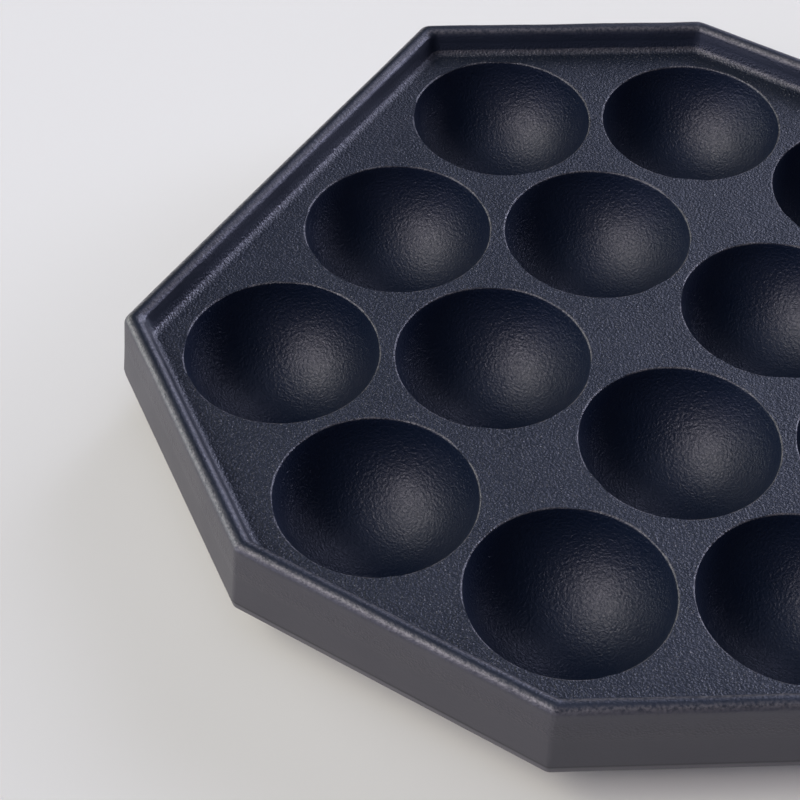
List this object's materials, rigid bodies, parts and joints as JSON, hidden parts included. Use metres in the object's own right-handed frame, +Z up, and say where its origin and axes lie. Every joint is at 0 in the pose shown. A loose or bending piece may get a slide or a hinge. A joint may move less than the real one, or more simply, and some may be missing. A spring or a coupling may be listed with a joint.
{
  "type": "takoyaki maker",
  "caption": "Cast-iron takoyaki maker: an elongated octagonal plate with round wells, a raised rim, a deep skirt and a turned wooden handle with a hanging ring.",
  "frame": {"origin": "the middle of the plate's cooking face, on the plate's top surface", "axes": "+X runs out along the handle, +Y along the long sides of the octagon, +Z up out of the cooking face"},
  "size_m": [0.3683, 0.2024, 0.0649],
  "materials": {
    "cast_iron": "black baked finish, finely pebbled, half matt",
    "ferrule_steel": "turned, satin",
    "hardware_steel": "zinc plated, slightly dull",
    "wood": "turned hardwood, oiled"
  },
  "bodies": {
    "pan": {"pan_casting": "cast_iron", "handle_ferrule": "ferrule_steel", "wooden_grip": "wood", "tie_rod": "hardware_steel", "end_cap": "ferrule_steel", "spring_washer": "hardware_steel", "eye_nut": "hardware_steel"},
    "ring": {"hanging_ring": "hardware_steel"}
  },
  "joints": [
    {"name": "ring_swing", "type": "hinge", "parent": "pan", "child": "ring", "pos_m": [0.26669, 0, 0.03153], "axis": [0, -1, 0], "range_deg": [-46, 240]}
  ]
}
